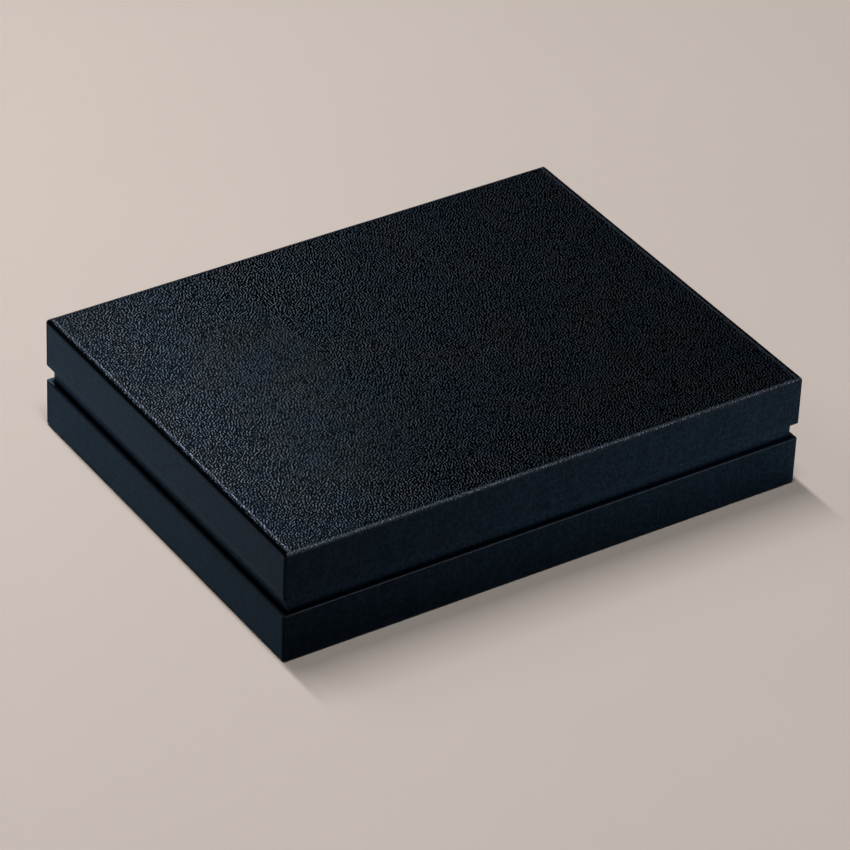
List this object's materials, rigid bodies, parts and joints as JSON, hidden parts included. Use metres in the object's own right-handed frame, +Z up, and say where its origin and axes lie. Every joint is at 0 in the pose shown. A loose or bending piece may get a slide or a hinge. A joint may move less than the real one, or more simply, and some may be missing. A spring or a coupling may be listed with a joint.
{
  "type": "gift box",
  "caption": "Flat rigid gift box in black grained leatherette: a lid of the same outline lifts off a neck that stands in the base and leaves an open groove all round.",
  "frame": {"origin": "centre of the underside, on the surface the box rests on", "axes": "+X along the box's length, -Y its front long side, +Z up, the way the lid lifts"},
  "size_m": [0.22, 0.1694, 0.0465],
  "materials": {
    "leatherette": "satin",
    "neck_covering": "satin",
    "lining_paper": "matte",
    "underside_paper": "matte",
    "greyboard": "matte",
    "stay_paper": "matte"
  },
  "bodies": {
    "base": {"base_floor_board": "greyboard", "base_front_board": "greyboard", "base_back_board": "greyboard", "base_left_board": "greyboard", "base_right_board": "greyboard", "base_corner_stays": "stay_paper", "base_wrap": "leatherette", "base_underside_sheet": "underside_paper", "base_floor_lining": "lining_paper", "neck_front_board": "greyboard", "neck_back_board": "greyboard", "neck_left_board": "greyboard", "neck_right_board": "greyboard", "neck_corner_stays": "stay_paper", "neck_wrap": "neck_covering"},
    "lid": {"lid_top_board": "greyboard", "lid_front_board": "greyboard", "lid_back_board": "greyboard", "lid_left_board": "greyboard", "lid_right_board": "greyboard", "lid_corner_stays": "stay_paper", "lid_wrap": "leatherette", "lid_ceiling_lining": "lining_paper"}
  },
  "joints": [
    {"name": "lid_lift", "type": "slide", "parent": "base", "child": "lid", "axis": [0, 0, 1], "range_m": [0, 0.12]}
  ]
}
